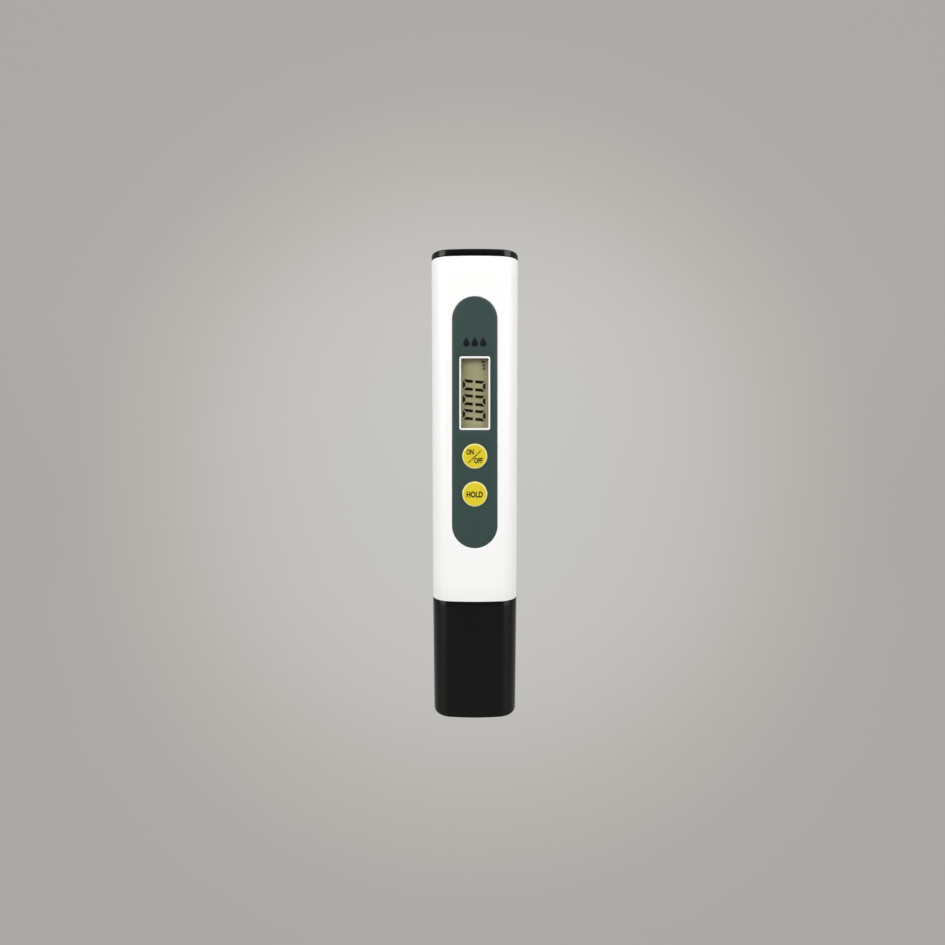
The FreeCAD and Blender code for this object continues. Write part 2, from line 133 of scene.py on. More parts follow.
# The paper's painted pool of light depends on the angle from a line that starts at the camera and passes
# near the pen's middle.
place = add_node(tree, "ShaderNodeTexCoord").outputs["Object"]
away = {1: camera_place}
from_camera = add_node(tree, "ShaderNodeVectorMath", away, {0: place}, operation="SUBTRACT").outputs[0]
unit = add_node(tree, "ShaderNodeVectorMath", None, {0: from_camera}, operation="NORMALIZE").outputs[0]
line = (0.0, 0.9962, -0.0869)
nearness = add_node(tree, "ShaderNodeVectorMath", {1: line}, {0: unit}, operation="DOT_PRODUCT")
painted_pool = add_node(tree, "ShaderNodeValToRGB", None, {"Fac": nearness.outputs["Value"]})
stops = painted_pool.color_ramp.elements
stops[0].position, stops[0].color = 0.72, linear("aca8a5")
stops[1].position, stops[1].color = 1.0, linear("c6c6c4")
for position, colour in ((0.80, "afaba8"), (0.86, "b7b4af"), (0.91, "bfbdb9"), (0.95, "c4c2c0")):
    stops.new(position).color = linear(colour)
matt = add_node(tree, "ShaderNodeBsdfDiffuse", {"Roughness": 0.5}, {"Color": painted_pool.outputs["Color"]})
# The wall is further from the lamps than the table, so its paper is painted a little lighter.
height = add_node(tree, "ShaderNodeSeparateXYZ", None, {0: place}).outputs["Z"]
gain = add_node(tree, "ShaderNodeMapRange", {1: 0.0, 2: 0.25, 3: 1.0, 4: 1.055}, {0: height}).outputs[0]
lit = {"Color": painted_pool.outputs["Color"], "Strength": gain}
shown = add_node(tree, "ShaderNodeEmission", None, lit)
# The camera and what mirrors the paper see its painted colour, given off as a glow, for the most part, and
# the rest of it takes the pen's shadow.
ray = add_node(tree, "ShaderNodeLightPath").outputs
seen = ray["Is Camera Ray"]
for mirrored in ("Is Glossy Ray", "Is Transmission Ray"):
    seen = add_node(tree, "ShaderNodeMath", None, {0: seen, 1: ray[mirrored]}, operation="MAXIMUM").outputs[0]
share = add_node(tree, "ShaderNodeMath", {1: 0.92}, {0: seen}, operation="MULTIPLY").outputs[0]
mixed = add_node(tree, "ShaderNodeMixShader", None, {0: share, 1: matt.outputs[0], 2: shown.outputs[0]})
add_node(tree, "ShaderNodeOutputMaterial", None, {"Surface": mixed.outputs[0]})
backdrop = piece("studio_sweep", [sweep_grid()], paper, closed=False)


# Studio light: a wide soft box high in front of the pen, two tall ones before it on the left and right, and
# a pale tent round it that is dark only behind the camera, which is what the black parts show in their
# middle.
def soft_box(name, place, aim, width, height, power):
    """Rectangular area lamp at a place, turned to face a point."""
    lamp = bpy.data.lights.new(name, "AREA")
    lamp.shape = "RECTANGLE"
    lamp.size, lamp.size_y = width, height
    lamp.energy = power
    holder = bpy.data.objects.new(name, lamp)
    place = np.array(place)
    back = (place - np.array(aim)) / np.linalg.norm(place - np.array(aim))
    side = np.cross((0, 0, 1), back)
    side = side / np.linalg.norm(side)
    matrix = np.eye(4)
    matrix[:3, 0], matrix[:3, 1], matrix[:3, 2], matrix[:3, 3] = side, np.cross(back, side), back, place
    holder.matrix_world = matrix.T.tolist()
    bpy.context.scene.collection.objects.link(holder)


middle = (0, 0, 0.08)
soft_box("soft_box_above", (0, -0.55, 0.85), middle, 0.9, 0.7, 1.9)
soft_box("soft_box_left", (-0.7, -0.55, 0.39), middle, 0.62, 0.76, 5.9)
soft_box("soft_box_right", (0.7, -0.55, 0.39), middle, 0.62, 0.76, 5.7)
tent = bpy.data.worlds.new("studio_tent")
bpy.context.scene.world = tent
tent.use_nodes = True
tree = tent.node_tree
look = add_node(tree, "ShaderNodeTexCoord").outputs["Generated"]
ahead = add_node(tree, "ShaderNodeVectorMath", {1: (0, -1, 0)}, {0: look}, operation="DOT_PRODUCT")
fall = {1: 0.45, 2: 0.9, 3: 0.45, 4: 0.02}
strength = add_node(tree, "ShaderNodeMapRange", fall, {0: ahead.outputs["Value"]}).outputs[0]
tree.links.new(strength, tree.nodes["Background"].inputs["Strength"])
tree.nodes["Background"].inputs["Color"].default_value = linear("ffffff")

# Housing: one white moulding in glossy ABS, a tapered oval tube with a narrower spigot for the cap. The
# panel's recess, the display's lip and the round guides of the keys are moulded into its front, and a small
# hole in its back leads a screwdriver to the calibration trimmer.
cap_rim_z, pen_length = 38.1, 154.0
foot_half, rim_half, top_half = (13.68, 6.45), (14.15, 6.75), (14.70, 7.00)
side_radius_share = 0.93
housing_low_z, housing_high_z, housing_round = 38.22, 151.65, 0.2
bore_size_z, bore_wall = 130.0, 1.7
spigot_size_z, spigot_depth, spigot_wall, spigot_end_z = 1.6, 1.43, 1.1, 24.0
shoulder_z = 40.0
recess_half, recess_depth, recess_round = 7.5, 0.45, 0.12
recess_low_z, recess_high_z = 63.3, 130.9
display_z = 106.65
# Half width, half height and corner radius of the lip's outside, of its opening and of the window.
lip_outer, lip_inner, lip_round = (5.04, 12.06, 0.7), (4.54, 11.45, 0.25), 0.1
window_half, window_front_y = (5.3, 13.0, 0.1), -5.9
display_field = (92.2, 121.1)
key_z = {"power": 86.0, "hold": 73.6}
key_pitch_half = 6.2
seat_radius, seat_y, stem_radius, boss_radius, boss_y = 4.85, -5.22, 2.35, 5.5, -4.5
calibration_z, calibration_radius, hole_field_half = 64.0, 1.6, 3.8

# Columns and rows that every grid of the front shares, so that neighbouring grids meet point to point.
front_edge, bore_edge, back_edge = 8.3, 7.0, 3.6
patch_rise = 11.3
corner_turn = math.atan2(front_edge, patch_rise)
front_share = np.tan(np.linspace(0, corner_turn, 15)) / math.tan(corner_turn)
back_share = np.linspace(0, 1, 8)
side_steps = 28
rise = front_edge * np.tan(np.linspace(0, math.pi / 2 - corner_turn, 17))
between_keys = (key_z["power"] + key_z["hold"]) / 2
strip_ends = [recess_low_z, between_keys - 2 * key_pitch_half, between_keys, *display_field, recess_high_z]
strip_steps = [7, 18, 18, 40, 8]
straight = [np.linspace(a, b, n + 1)[:-1] for a, b, n in zip(strip_ends, strip_ends[1:], strip_steps)]
rows_z = np.concatenate([recess_low_z - rise[:0:-1], *straight, recess_high_z + rise])


def oval_sizes(size_z, lower=False):
    """Radius and centre x of the side arc, radius and centre y of the front arc, at a height of the draft.

    Half width and half depth grow evenly with height. The side arc's radius is 0.93 of the half depth, and
    the front arc is the one that touches it and the middle of the front.
    """
    low_z, high_z = (0, cap_rim_z) if lower else (cap_rim_z, pen_length)
    low, high = (foot_half, rim_half) if lower else (rim_half, top_half)
    share = (np.asarray(size_z, float) - low_z) / (high_z - low_z)
    half_width = low[0] + (high[0] - low[0]) * share
    half_depth = low[1] + (high[1] - low[1]) * share
    side = side_radius_share * half_depth
    side_x = half_width - side
    radius = (side_x**2 + half_depth**2 - side**2) / (2 * (half_depth - side))
    return side, side_x, radius, radius - half_depth


def oval_half(z, depth, size_z=None, lower=False, edge=front_edge):
    """Right half of the oval at each height z, from the middle of the front round to the middle of the back.

    Points lie on the front arc up to x = edge and on to the tangent point, round the side arc, and along the
    back arc, all moved inwards by depth. size_z takes the oval's size from another height.
    """
    z, depth = [np.asarray(a, float)[:, None] for a in np.broadcast_arrays(z, depth)]
    side, side_x, radius, centre_y = oval_sizes(z if size_z is None else np.full_like(z, size_z), lower)
    lean = np.arctan2(side_x, centre_y)
    tangent_x = (radius - depth) * np.sin(lean)
    front_x = np.hstack([edge * front_share + 0 * z, edge + (tangent_x - edge) * np.array([1 / 3, 2 / 3])])
    turn = (lean - math.pi / 2) + (math.pi - 2 * lean) * np.linspace(0, 1, side_steps + 1)
    to_back = tangent_x + (back_edge - tangent_x) * np.linspace(0, 1, 6)[1:]
    back_x = np.hstack([to_back, back_edge * back_share[-2::-1] + 0 * z])
    x = np.hstack([front_x, side_x + (side - depth) * np.cos(turn), back_x])
    front_y = centre_y - np.sqrt((radius - depth) ** 2 - front_x**2)
    back_y = np.sqrt((radius - depth) ** 2 - back_x**2) - centre_y
    y = np.hstack([front_y, (side - depth) * np.sin(turn), back_y])
    return np.stack([x, y, z + 0 * x], axis=-1)


front_column = len(front_share) - 1
back_column = -len(back_share)


def bow_points(x, z, depth, size_z=None, face=-1):
    """Points at (x, z) on the oval's front arc, moved inwards by depth. With face +1, on its back arc."""
    _, _, radius, centre_y = oval_sizes(z if size_z is None else size_z)
    y = np.sqrt((radius - depth) ** 2 - x**2) - centre_y
    return np.stack(np.broadcast_arrays(x, face * y, z), axis=-1)


def flat_points(x, z, y):
    """Points at (x, z) on an upright plane."""
    return np.stack(np.broadcast_arrays(x, y, z), axis=-1)


def straight_rows(low_z, high_z):
    """The shared rows from one height to another."""
    return rows_z[(rows_z > low_z - 0.01) & (rows_z < high_z + 0.01)]


def half_frame(width, low_z, high_z, share=front_share):
    """Right half of a rectangle's border, from the top middle down to the bottom middle, as x and z."""
    side_z = straight_rows(low_z + 0.02, high_z - 0.02)[::-1]
    x = np.concatenate([width * share, np.full(len(side_z), width), width * share[::-1]])
    return x, np.concatenate([np.full(len(share), high_z), side_z, np.full(len(share), low_z)])


def half_outline(border, centre_z, half_x, half_z, corner):
    """Right half of a rectangle with round corners, point for point with a border outside it.

    The nearest point of the inner core, the rectangle less its corner radius, is moved by that radius towards
    the border's point. A core of no size gives a circle.
    """
    x, z = border
    core_x = np.minimum(x, half_x - corner)
    core_z = np.clip(z, centre_z - half_z + corner, centre_z + half_z - corner)
    reach = corner / np.hypot(x - core_x, z - core_z)
    return core_x + (x - core_x) * reach, core_z + (z - core_z) * reach


def circle(border, centre_z, radius):
    """Right half of a circle, point for point with a border outside it."""
    return half_outline(border, centre_z, radius, radius, radius)


outer_border = half_frame(front_edge, rows_z[0], rows_z[-1])


def stadium(reach):
    """Right half of the full-round outline of the panel's recess, at a distance from its middle line."""
    half_height = (recess_high_z - recess_low_z) / 2
    return half_outline(outer_border, (recess_high_z + recess_low_z) / 2, reach, half_height + reach, reach)


def stadium_face(reach, depth):
    """Curved face with full-round ends, less the fields of the keys and the display.

    Two plain strips, and at each end a half disc as a fan of the shared columns over the stadium's own turn.
    """
    x = reach * front_share
    strips = (straight_rows(recess_low_z, strip_ends[1]), straight_rows(display_field[1], recess_high_z))
    grids = [bow_points(x, z[:, None], depth) for z in strips]
    turn = np.linspace(0, corner_turn, len(front_share))
    turn = np.concatenate([turn, np.arctan2(front_edge, rise[-2::-1])])
    for end_z, sign in ((recess_high_z, 1), (recess_low_z, -1)):
        ring = x[:, None]
        grids.append(bow_points(ring * np.sin(turn), end_z + sign * ring * np.cos(turn), depth))
    return grids


def both_sides(grids):
    """The right half's grids and their mirror images in x."""
    return grids + [grid * (-1, 1, 1) for grid in grids]


def rounding(size, steps=4):
    """Offsets (outwards, down) along a quarter circle from a face into a wall."""
    turn = np.radians(np.linspace(0, 90, steps + 1))
    return [(size * (1 - math.sin(t)), size * (1 - math.cos(t))) for t in turn]


def key_guide(z):
    """Field of one key: hole in the recess, seat for its flange, bore for its stem, round guide inside."""
    low_z, high_z = z - key_pitch_half, z + key_pitch_half
    border = half_frame(recess_half, low_z, high_z)
    seat = circle(border, z, seat_radius)
    bore = circle(border, z, stem_radius)
    boss = circle(border, z, boss_radius)
    return np.stack([
        bow_points(*border, recess_depth),
        bow_points(*seat, recess_depth),
        flat_points(*seat, seat_y),
        flat_points(*bore, seat_y),
        flat_points(*bore, boss_y),
        flat_points(*boss, boss_y),
        bow_points(*boss, bore_wall, bore_size_z),
        bow_points(*half_frame(bore_edge, low_z, high_z), bore_wall, bore_size_z),
    ])


def display_frame():
    """Field of the display: lip that stands up through the panel, its opening, the window's pocket behind."""
    border = half_frame(recess_half, *display_field)
    outside = half_outline(border, display_z, *lip_outer)
    rows = [bow_points(*border, recess_depth), bow_points(*outside, recess_depth)]
    for out, down in rounding(lip_round)[::-1]:
        shrunk = [size - out for size in lip_outer]
        rows.append(bow_points(*half_outline(border, display_z, *shrunk), down))
    for out, down in rounding(lip_round):
        grown = [size + out for size in lip_inner]
        rows.append(bow_points(*half_outline(border, display_z, *grown), down))
    pocket = half_outline(border, display_z, *window_half)
    rows.append(flat_points(*half_outline(border, display_z, *lip_inner), window_front_y))
    rows.append(flat_points(*pocket, window_front_y))
    rows.append(bow_points(*pocket, bore_wall, bore_size_z))
    rows.append(bow_points(*half_frame(bore_edge, *display_field), bore_wall, bore_size_z))
    return np.stack(rows)


def calibration_hole(low_z, high_z):
    """Round hole in the back with a softened edge, from the outside to the bore."""
    border = half_frame(back_edge, low_z, high_z, back_share)
    rows = [bow_points(*border, 0, face=1)]
    for out, down in rounding(housing_round):
        rows.append(bow_points(*circle(border, calibration_z, calibration_radius + out), down, face=1))
    hole = circle(border, calibration_z, calibration_radius)
    rows.append(bow_points(*hole, bore_wall, bore_size_z, face=1))
    rows.append(bow_points(*border, bore_wall, bore_size_z, face=1))
    return np.stack(rows)


def housing_outside():
    """Outside of the tube as one grid of half ovals, from the rounded lower rim to the rounded upper one."""
    low = [(housing_low_z + down, out) for out, down in rounding(housing_round)] + [(45.0, 0.0)]
    high = [(housing_low_z + housing_high_z - z, depth) for z, depth in low[::-1]]
    z, depth = np.array(low + [(z, 0.0) for z in rows_z] + high).T
    return oval_half(z, depth)


def front_recess():
    """The plain front round the recess, the recess's rounded edge and its wall."""
    rows = [bow_points(*outer_border, 0)]
    wide = stadium(recess_half + 0.35)
    for share in (0.35, 0.7, 1.0):
        between = [a + (b - a) * share for a, b in zip(outer_border, wide)]
        rows.append(bow_points(*between, 0))
    rows += [bow_points(*stadium(recess_half + out), down) for out, down in rounding(recess_round)]
    rows.append(bow_points(*stadium(recess_half), recess_depth))
    return np.stack(rows)


def spigot_rows():
    """Narrow oval below the shoulder: outside, rounded end, and inside up to the bore's floor."""
    inner = spigot_depth + spigot_wall
    profile = [
        (housing_low_z, spigot_depth),
        (spigot_end_z + 0.3, spigot_depth),
        (spigot_end_z + 0.09, spigot_depth + 0.09),
        (spigot_end_z, spigot_depth + 0.3),
        (spigot_end_z, inner - 0.15),
        (spigot_end_z + 0.15, inner),
        (shoulder_z, inner),
    ]
    z, depth = np.array(profile).T
    return oval_half(z, depth, spigot_size_z, lower=True, edge=bore_edge)


def housing_grids():
    """Right half of the housing's whole surface: outside, front, back, bore, spigot."""
    outer = housing_outside()
    z = outer[:, 0, 2]
    low, high = np.flatnonzero(z == rows_z[0])[0], np.flatnonzero(z == rows_z[-1])[0]
    near_hole = np.flatnonzero(np.abs(z - calibration_z) < hole_field_half)
    hole_low, hole_high = near_hole[0] - 1, near_hole[-1] + 1
    grids = [outer[:, front_column : outer.shape[1] + back_column + 1]]
    grids += [outer[: low + 1, : front_column + 1], outer[high:, : front_column + 1]]
    grids += [outer[: hole_low + 1, back_column:], outer[hole_high:, back_column:]]
    grids += [front_recess(), *stadium_face(recess_half, recess_depth)]
    grids += [key_guide(key) for key in key_z.values()]
    grids += [display_frame(), calibration_hole(z[hole_low], z[hole_high])]

    bore_z = np.concatenate([[shoulder_z, 46.0], rows_z, [147.0, housing_high_z]])
    bore = oval_half(bore_z, bore_wall, bore_size_z, edge=bore_edge)
    below, above = bore_z < strip_ends[1] + 0.01, bore_z > display_field[1] - 0.01
    grids.append(bore[:, front_column : bore.shape[1] + back_column + 1])
    grids += [bore[below][:, : front_column + 1], bore[above][:, : front_column + 1]]
    grids.append(bore[bore_z < z[hole_low] + 0.01][:, back_column:])
    grids.append(bore[bore_z > z[hole_high] - 0.01][:, back_column:])
    grids.append(np.stack([outer[-1], bore[-1]]))
    grids.append(np.concatenate([outer[:1], spigot_rows(), bore[:1]]))
    return grids


def surface(name, colour, other, roughness, grain, relief, sockets=None, drift=18.0, stretch=(1, 1, 1)):
    """Principled material whose base drifts slowly between two near colours, over a fine relief.

    drift, grain and relief are the sizes in millimetres of the drift, of the relief's grain and its height.
    stretch scales the grain along each axis, so that a small value there draws it out into strokes.
    """
    material = bpy.data.materials.new(name)
    material.use_nodes = True
    tree = material.node_tree
    shader = tree.nodes["Principled BSDF"]
    for socket, value in {"Roughness": roughness, "IOR": 1.53, **(sockets or {})}.items():
        shader.inputs[socket].default_value = value
    place = add_node(tree, "ShaderNodeTexCoord").outputs["Object"]
    slow = add_node(tree, "ShaderNodeTexNoise", {"Scale": 1000 / drift, "Detail": 2.0}, {"Vector": place})
    ends = {6: linear(colour), 7: linear(other)}
    base = add_node(tree, "ShaderNodeMix", ends, {0: slow.outputs["Fac"]}, data_type="RGBA").outputs[2]
    tree.links.new(base, shader.inputs["Base Color"])
    drawn = add_node(tree, "ShaderNodeMapping", {"Scale": stretch}, {"Vector": place}).outputs[0]
    fine = add_node(tree, "ShaderNodeTexNoise", {"Scale": 1000 / grain, "Detail": 3.0}, {"Vector": drawn})
    height = {"Height": fine.outputs["Fac"]}
    bump = add_node(tree, "ShaderNodeBump", {"Distance": relief * 0.001}, height)
    tree.links.new(bump.outputs["Normal"], shader.inputs["Normal"])
    return material


# White ABS from a polished mould: an even white with a soft sheen.
white_abs = surface("polished_white_abs", "fafafa", "f7f7f6", 0.38, 1.6, 0.0015)
housing = piece("white_housing", both_sides(housing_grids()), white_abs)
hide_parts("housing")
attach(housing, "meter_body")


# Front panel: a stiff slate-green overlay with full-round ends, cut to clear the display's lip and the two
# keys and stuck into the recess. It follows the bow of the front and lies a hair under it. Three small
# drops are printed above the display.
panel_gap, panel_depth, panel_bevel, bevel_drop = 0.06, 0.05, 0.3, 0.14
key_hole_radius, hole_round = 4.26, 0.06
drop_size, drop_pitch, drops_z = (1.16, 3.2), 2.75, 123.5
ink_height = 0.008


def panel_grids():
    """Right half of the overlay: face, back, bevelled outer edge, and the walls of its three openings."""
    rim = recess_half - panel_gap
    face = rim - panel_bevel
    back_depth = recess_depth - 0.01
    edge = [bow_points(*stadium(face), panel_depth)]
    for share in (0.35, 0.7, 1.0):
        drop = bevel_drop * share**2
        edge.append(bow_points(*stadium(face + panel_bevel * share), panel_depth + drop))
    edge.append(bow_points(*stadium(rim), back_depth))
    grids = [*stadium_face(face, panel_depth), *stadium_face(rim, back_depth), np.stack(edge)]
    holes = [(z - key_pitch_half, z + key_pitch_half, z, (key_hole_radius,) * 3) for z in key_z.values()]
    holes.append((*display_field, display_z, tuple(size + panel_gap for size in lip_outer)))
    for low_z, high_z, centre_z, hole in holes:
        front, back = half_frame(face, low_z, high_z), half_frame(rim, low_z, high_z)
        rows = [bow_points(*front, panel_depth)]
        for out, down in rounding(hole_round, 2):
            grown = [size + out for size in hole]
            rows.append(bow_points(*half_outline(front, centre_z, *grown), panel_depth + down))
        rows.append(bow_points(*half_outline(front, centre_z, *hole), back_depth))
        rows.append(bow_points(*back, back_depth))
        grids.append(np.stack(rows))
    return grids


def inlay(x, z, front, back):
    """Thin flat body with the closed outline (x, z): fans from its middle in front and behind, and its edge.

    front and back turn x and z into points on the two faces.
    """
    middle_x, middle_z = np.full_like(x, x[:-1].mean()), np.full_like(z, z[:-1].mean())
    return np.stack([front(middle_x, middle_z), front(x, z), back(x, z), back(middle_x, middle_z)])


def drop_outline(centre_x):
    """Drop: z follows a cosine from the tip, and x a sine times a power of the half turn's sine."""
    turn = np.linspace(0, 2 * math.pi, 49)
    half_width, height = drop_size
    x = centre_x + half_width * 1.3 * np.sin(turn) * np.sin(turn / 2) ** 1.6
    return x, drops_z + height / 2 * np.cos(turn)


def on_panel(height):
    """Gives the function that puts points at a height in front of the overlay."""
    def points(x, z):
        return bow_points(x, z, panel_depth - height)
    return points


# Hard overlay film, screen printed on its back: even satin slate green with a fine tooth.
slate_film = surface("satin_slate_overlay", "2f4441", "2c413f", 0.42, 0.25, 0.002)
panel = piece("slate_panel", both_sides(panel_grids()), slate_film)
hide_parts("front_panel")
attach(panel, "meter_body")
# Screen ink, a shade glossier than the film, near black. Its body reaches under the film's face.
panel_ink = surface("black_screen_ink", "15191a", "111516", 0.3, 0.2, 0.001)
drops = [drop_outline(drop_pitch * step) for step in (-1, 0, 1)]
print_grids = [inlay(x, z, on_panel(ink_height), on_panel(-ink_height)) for x, z in drops]
panel_print = piece("panel_print", print_grids, panel_ink)
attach(panel_print, "meter_body")


# Display: a clear plate in the housing's pocket, the segment glass behind it in a moulded frame, a foil on
# the glass's back and a rubber connector along each side. The reading is three noughts, read from below
# upwards.
glass_front_y = -4.55
digit_height, digit_width, stroke, end_stroke, slant = 7.5, 3.6, 0.98, 0.82, math.radians(5.5)
digit_foot_x, first_digit_z, digit_pitch = 3.52, 97.33, 4.89
segment_gap, middle_gap = 0.27, 0.46
# Half width and z of each level bar, and what they share: their right end and their half height.
level_bars = [(0.42, 114.9), (0.52, 116.0), (0.62, 117.1)]
bar_end_x, bar_half_height = 3.46, 0.37


def dress(material, *names):
    """Gives carried-over CAD nodes a material."""
    for name in names:
        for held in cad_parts[name].material_slots:
            held.material = material


def layer(material, mask, colour, roughness, metallic=None):
    """Lays a second finish over a material where a mask is 1: colour, roughness and, if given, metal."""
    tree = material.node_tree
    shader = tree.nodes["Principled BSDF"]
    below = shader.inputs["Base Color"].links[0].from_socket
    over = add_node(tree, "ShaderNodeMix", {7: linear(colour)}, {0: mask, 6: below}, data_type="RGBA")
    tree.links.new(over.outputs[2], shader.inputs["Base Color"])
    for socket, value in (("Roughness", roughness), ("Metallic", metallic)):
        if value is not None:
            ends = {2: shader.inputs[socket].default_value, 3: value}
            step = add_node(tree, "ShaderNodeMix", ends, {0: mask}, data_type="FLOAT")
            tree.links.new(step.outputs[0], shader.inputs[socket])


def bars(material, axis, pitch, width):
    """Mask of bars across an axis: 1 over the first width of every pitch, in millimetres."""
    tree = material.node_tree
    place = add_node(tree, "ShaderNodeTexCoord").outputs["Object"]
    part = add_node(tree, "ShaderNodeSeparateXYZ", None, {0: place}).outputs[axis]
    period = {1: pitch * 0.001, 2: 0.0}
    run = add_node(tree, "ShaderNodeMath", period, {0: part}, operation="WRAP").outputs[0]
    return add_node(tree, "ShaderNodeMath", {1: width * 0.001}, {0: run}, operation="LESS_THAN").outputs[0]


# Cast acrylic, polished: clear, with a sharp faint reflection. Rays from the lamps pass straight through
# it, so that the glass behind it is lit.
clear_acrylic = bpy.data.materials.new("polished_clear_acrylic")
clear_acrylic.use_nodes = True
tree = clear_acrylic.node_tree
shader = tree.nodes["Principled BSDF"]
for socket, value in {"Base Color": linear("fafcfa"), "Roughness": 0.03, "IOR": 1.49}.items():
    shader.inputs[socket].default_value = value
shader.inputs["Transmission Weight"].default_value = 1.0
open_way = add_node(tree, "ShaderNodeBsdfTransparent")
from_lamp = add_node(tree, "ShaderNodeLightPath").outputs["Is Shadow Ray"]
ways = {0: from_lamp, 1: shader.outputs[0], 2: open_way.outputs[0]}
through = add_node(tree, "ShaderNodeMixShader", None, ways)
tree.links.new(through.outputs[0], tree.nodes["Material Output"].inputs["Surface"])
dress(clear_acrylic, "display_window")

# Segment glass under a polariser: olive khaki, faintly uneven behind a smooth face.
segment_glass = surface("polarised_segment_glass", "a19c7a", "979273", 0.16, 0.5, 0.0005, drift=5.0)
dress(segment_glass, "lcd_glass")


def segment(u, v, digit):
    """Segment of one digit from its corners: u up the digit and v across it, in millimetres.

    The digit lies on its left side with its head to -X, and leans by the slant: x falls by u, and z rises by
    v and by u times the slant's tangent.
    """
    u, v = np.array([*u, u[0]], float), np.array([*v, v[0]], float)
    x = digit_foot_x - u
    return x, first_digit_z + digit_pitch * digit + v + u * math.tan(slant)


def digit_segments(digit):
    """The nought's two end bars and its four side bars, mitred where they meet at the corners."""
    top, side = digit_height, stroke
    bar_u = [top, top, top - end_stroke, top - end_stroke]
    chamfer = 2 * segment_gap
    bar_v = [chamfer, digit_width - chamfer, digit_width - side - segment_gap, side + segment_gap]
    tip = top / 2 + middle_gap
    side_u = [top - segment_gap, top - end_stroke - segment_gap, tip, tip - 0.12, tip]
    side_v = [0.0, side, side, side / 2, 0.0]
    shapes = []
    for u, v in ((bar_u, bar_v), (side_u, side_v), (side_u, [digit_width - value for value in side_v])):
        shapes += [(u, v), ([top - value for value in u], v)]
    return [segment(u, v, digit) for u, v in shapes]


def resting_segment(digit):
    """The nought's unlit middle bar, a long hexagon."""
    middle, half = digit_height / 2, stroke * 0.42
    u = [middle, middle + half, middle + half, middle, middle - half, middle - half]
    v = [stroke * 0.7, stroke * 1.2, digit_width - stroke * 1.2, digit_width - stroke * 0.7,
         digit_width - stroke * 1.2, stroke * 1.2]
    return segment(u, v, digit)


def on_glass(height):
    """Gives the function that puts points at a height in front of the segment glass."""
    def points(x, z):
        return flat_points(x, z, glass_front_y - height)
    return points


def square_outline(x, z, half_x, half_z):
    """Closed rectangle round (x, z)."""
    return x + half_x * np.array([-1, 1, 1, -1, -1.0]), z + half_z * np.array([-1, -1, 1, 1, -1.0])


# Driven segments: black with a dull sheen. Unlit ones are only a little darker than the glass, and the
# level mark is a faint olive.
driven = surface("driven_segment_black", "050503", "080805", 0.5, 0.4, 0.0005, {"Specular IOR Level": 0.1})
unlit = surface("unlit_segment", "969270", "918d6c", 0.25, 0.4, 0.0005)
faint = surface("faint_segment_olive", "4d4930", "47432b", 0.3, 0.4, 0.0005)
lit_outlines = [outline for digit in range(3) for outline in digit_segments(digit)]
lit_grids = [inlay(x, z, on_glass(0.04), on_glass(-0.01)) for x, z in lit_outlines]
rest_grids = [inlay(*resting_segment(digit), on_glass(0.02), on_glass(-0.01)) for digit in range(3)]
mark_grids = []
for half_width, z in level_bars:
    outline = square_outline(bar_end_x - half_width, z, half_width, bar_half_height)
    mark_grids.append(inlay(*outline, on_glass(0.03), on_glass(-0.01)))
for name, grids, material in (
    ("digits", lit_grids, driven),
    ("unlit_bars", rest_grids, unlit),
    ("level_mark", mark_grids, faint),
):
    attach(piece("display_" + name, grids, material), "meter_body")

# Foil: aluminium with a brushed, scattering face. Its strokes run up the glass.
metal = {"Metallic": 1.0, "IOR": 1.5}
foil = surface("brushed_reflector_foil", "c8c8c4", "bdbdb8", 0.38, 0.12, 0.002, metal, stretch=(1, 1, 0.05))
dress(foil, "lcd_reflector")
# White polycarbonate straight from the mould, with the mould's faint flow marks.
inner_white = surface("moulded_white_polycarbonate", "e9e8e2", "dfded7", 0.4, 0.8, 0.003, stretch=(1, 1, 0.4))
dress(inner_white, "lcd_holder", "battery_holder")
# Silicone with a carbon-filled layer every 0.2 mm, drawn at 0.6 mm so that the layers show.
silicone = surface("layered_silicone_rubber", "b9a7a2", "ad9b96", 0.7, 0.3, 0.004)
layer(silicone, bars(silicone, "Z", 0.6, 0.3), "1d1d1f", 0.8)
dress(silicone, "zebra_strips")

# Keys: two round push keys in yellow ABS, each with a bevelled edge, a flange that the panel holds in, and
# a stem that rests on its switch. Their words are pad printed: ON over OFF with a stroke between them, and
# HOLD.
key_radius, key_front_y, key_dome, key_bevel = 4.12, -7.29, 0.05, 0.42
flange_radius, flange_front_y, flange_back_y, flange_edge = 4.72, -6.18, -5.68, 0.06
key_stem_radius, key_stem_end_y = 2.2, -4.05
# Each word with its left, right, low and high edge from the key's middle, then the stroke's ends and width.
words = {
    "power": [("ON", -2.76, -0.33, 0.46, 2.36), ("OFF", -0.23, 2.60, -2.36, -0.46)],
    "hold": [("HOLD", -2.70, 2.66, -1.10, 0.95)],
}
stroke_line = ((-2.1, -2.17), (2.04, 1.87), 0.32)
print_height = 0.006


def key_face_y(radius):
    """The key's front, which falls back with the square of the distance from its middle."""
    return key_front_y + key_dome * (radius / key_radius) ** 2


def turned(profile, x, z, turns=96):
    """Profile of (radius, y) carried once round an axis along Y through (x, z)."""
    radius, y = np.array(profile, float).T[:, :, None]
    turn = np.linspace(0, 2 * math.pi, turns + 1)
    return np.stack(np.broadcast_arrays(x + radius * np.sin(turn), y, z + radius * np.cos(turn)), axis=-1)


